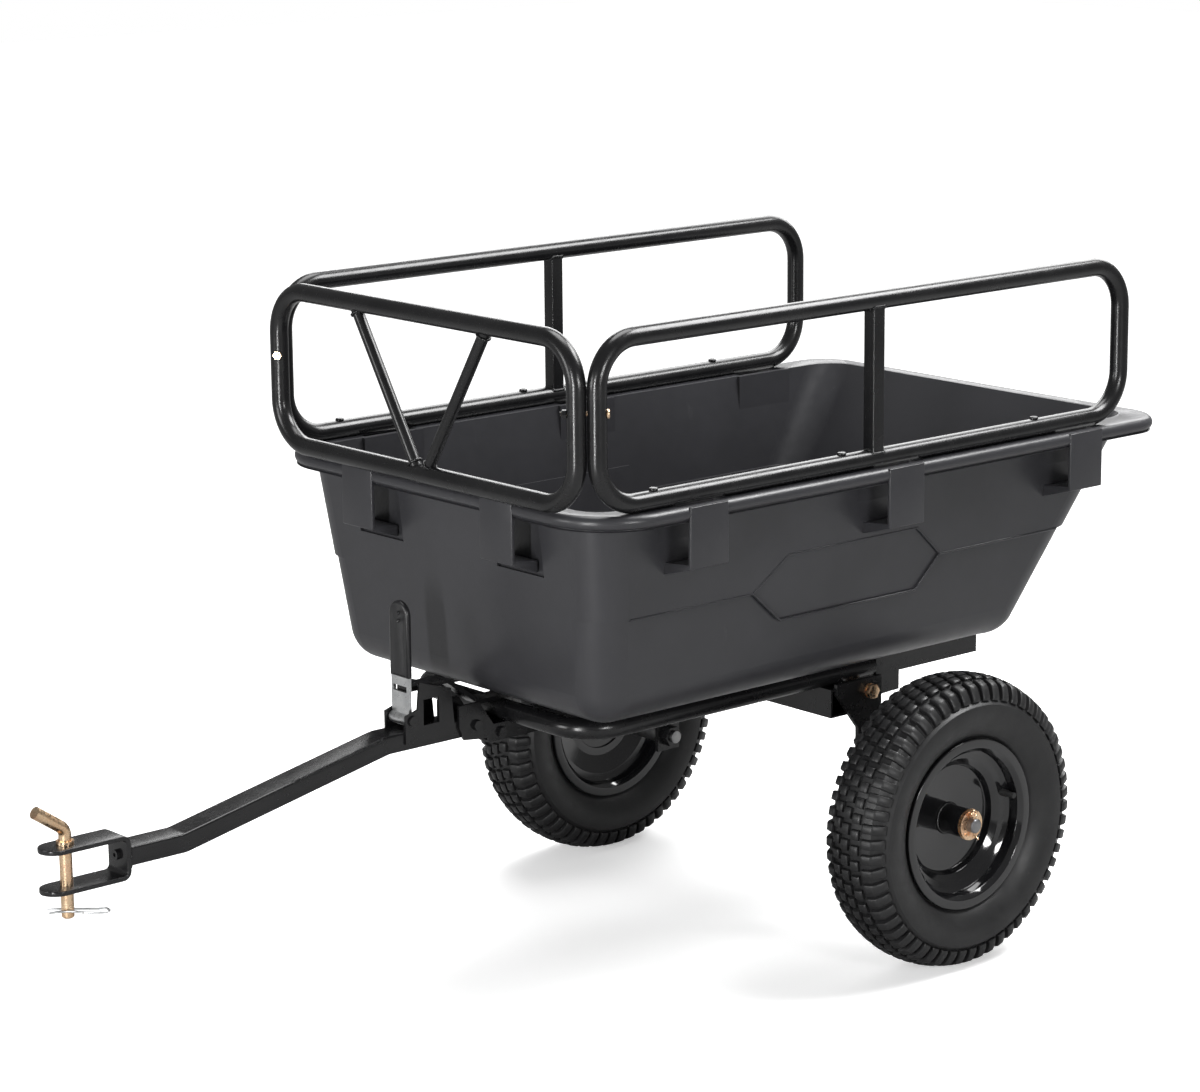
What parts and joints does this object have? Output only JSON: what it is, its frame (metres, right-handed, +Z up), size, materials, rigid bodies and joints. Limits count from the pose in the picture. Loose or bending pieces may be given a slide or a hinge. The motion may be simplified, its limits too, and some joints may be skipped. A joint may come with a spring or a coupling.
{
  "type": "tow behind cart",
  "caption": "Two-wheeled cart towed behind a garden tractor: tipping plastic tub with bolt-on tube rails, latch lever and clevis drawbar.",
  "frame": {"origin": "on the ground, under the middle of the whole length and width", "axes": "+X forward to the hitch, +Y to the cart's left, +Z up; the wheels turn about Y"},
  "size_m": [1.679, 0.8412, 0.935],
  "materials": {
    "black_poly": "moulded, fine grain",
    "black_steel": "satin powder coat",
    "gloss_rim": "gloss",
    "tyre": "matt rubber",
    "rubber": "matt",
    "grip_vinyl": "satin dipped vinyl",
    "yellow_zinc": "yellow zinc plate",
    "clear_zinc": "clear zinc plate",
    "raw_steel": "oiled steel"
  },
  "bodies": {
    "chassis": {"left_axle_bracket": "black_steel", "right_axle_bracket": "black_steel", "left_stub_axle": "raw_steel", "right_stub_axle": "raw_steel", "axle_washers": "yellow_zinc", "axle_nuts": "yellow_zinc", "cotter_pins": "yellow_zinc", "cross_beam": "black_steel", "pivot_bolts": "yellow_zinc", "pivot_washers": "yellow_zinc", "drawbar": "black_steel", "chassis_beam": "black_steel", "drawbar_joint_plates": "black_steel", "drawbar_joint_bolts": "black_steel", "hitch_clevis": "black_steel", "clevis_screw": "black_steel", "latch_bracket": "black_steel", "lever_pin": "black_steel", "return_spring": "raw_steel"},
    "bed": {"bed_tube": "black_steel", "bed_rear_bars": "black_steel", "bed_cross_straps": "black_steel", "left_hinge_ear": "black_steel", "right_hinge_ear": "black_steel", "tub_bolts": "clear_zinc", "latch_striker": "black_steel", "tub": "black_poly", "tub_rim": "black_poly", "stake_straps": "black_poly", "left_rail_loop": "black_steel", "right_rail_loop": "black_steel", "left_rail_post": "black_steel", "right_rail_post": "black_steel", "front_rail_loop": "black_steel", "front_rail_braces": "black_steel", "rail_corner_bolts": "yellow_zinc", "rail_rim_bolts": "black_steel"},
    "left_wheel": {"left_tyre": "tyre", "left_rim_outer": "gloss_rim", "left_rim_inner": "gloss_rim", "left_hub": "gloss_rim", "left_bearings": "yellow_zinc", "left_valve_stem": "rubber"},
    "right_wheel": {"right_tyre": "tyre", "right_rim_outer": "gloss_rim", "right_rim_inner": "gloss_rim", "right_hub": "gloss_rim", "right_bearings": "yellow_zinc", "right_valve_stem": "rubber"},
    "lever": {"latch_lever": "clear_zinc", "lever_grip": "grip_vinyl"},
    "pin": {"hitch_pin": "yellow_zinc"},
    "clip": {"hairpin_clip": "clear_zinc"}
  },
  "joints": [
    {"name": "bed_dump", "type": "hinge", "parent": "chassis", "child": "bed", "pos_m": [-0.3805, 0, 0.353], "axis": [0, -1, 0], "range_deg": [0, 70]},
    {"name": "left_wheel_spin", "type": "hinge", "parent": "chassis", "child": "left_wheel", "pos_m": [-0.3805, 0.366, 0.203], "axis": [0, 1, 0], "continuous": true},
    {"name": "right_wheel_spin", "type": "hinge", "parent": "chassis", "child": "right_wheel", "pos_m": [-0.3805, -0.366, 0.203], "axis": [0, 1, 0], "continuous": true},
    {"name": "latch_release", "type": "hinge", "parent": "chassis", "child": "lever", "pos_m": [0.272, 0, 0.3925], "axis": [0, 1, 0], "range_deg": [0, 25], "stiffness_Nm_per_rad": 2, "springref_deg": -14.32},
    {"name": "hitch_pin_lift", "type": "slide", "parent": "chassis", "child": "pin", "axis": [0, 0, 1], "range_m": [0, 0.018]},
    {"name": "hairpin_pull", "type": "slide", "parent": "pin", "child": "clip", "axis": [-0.7547, 0.6561, 0], "range_m": [0, 0.07]}
  ]
}
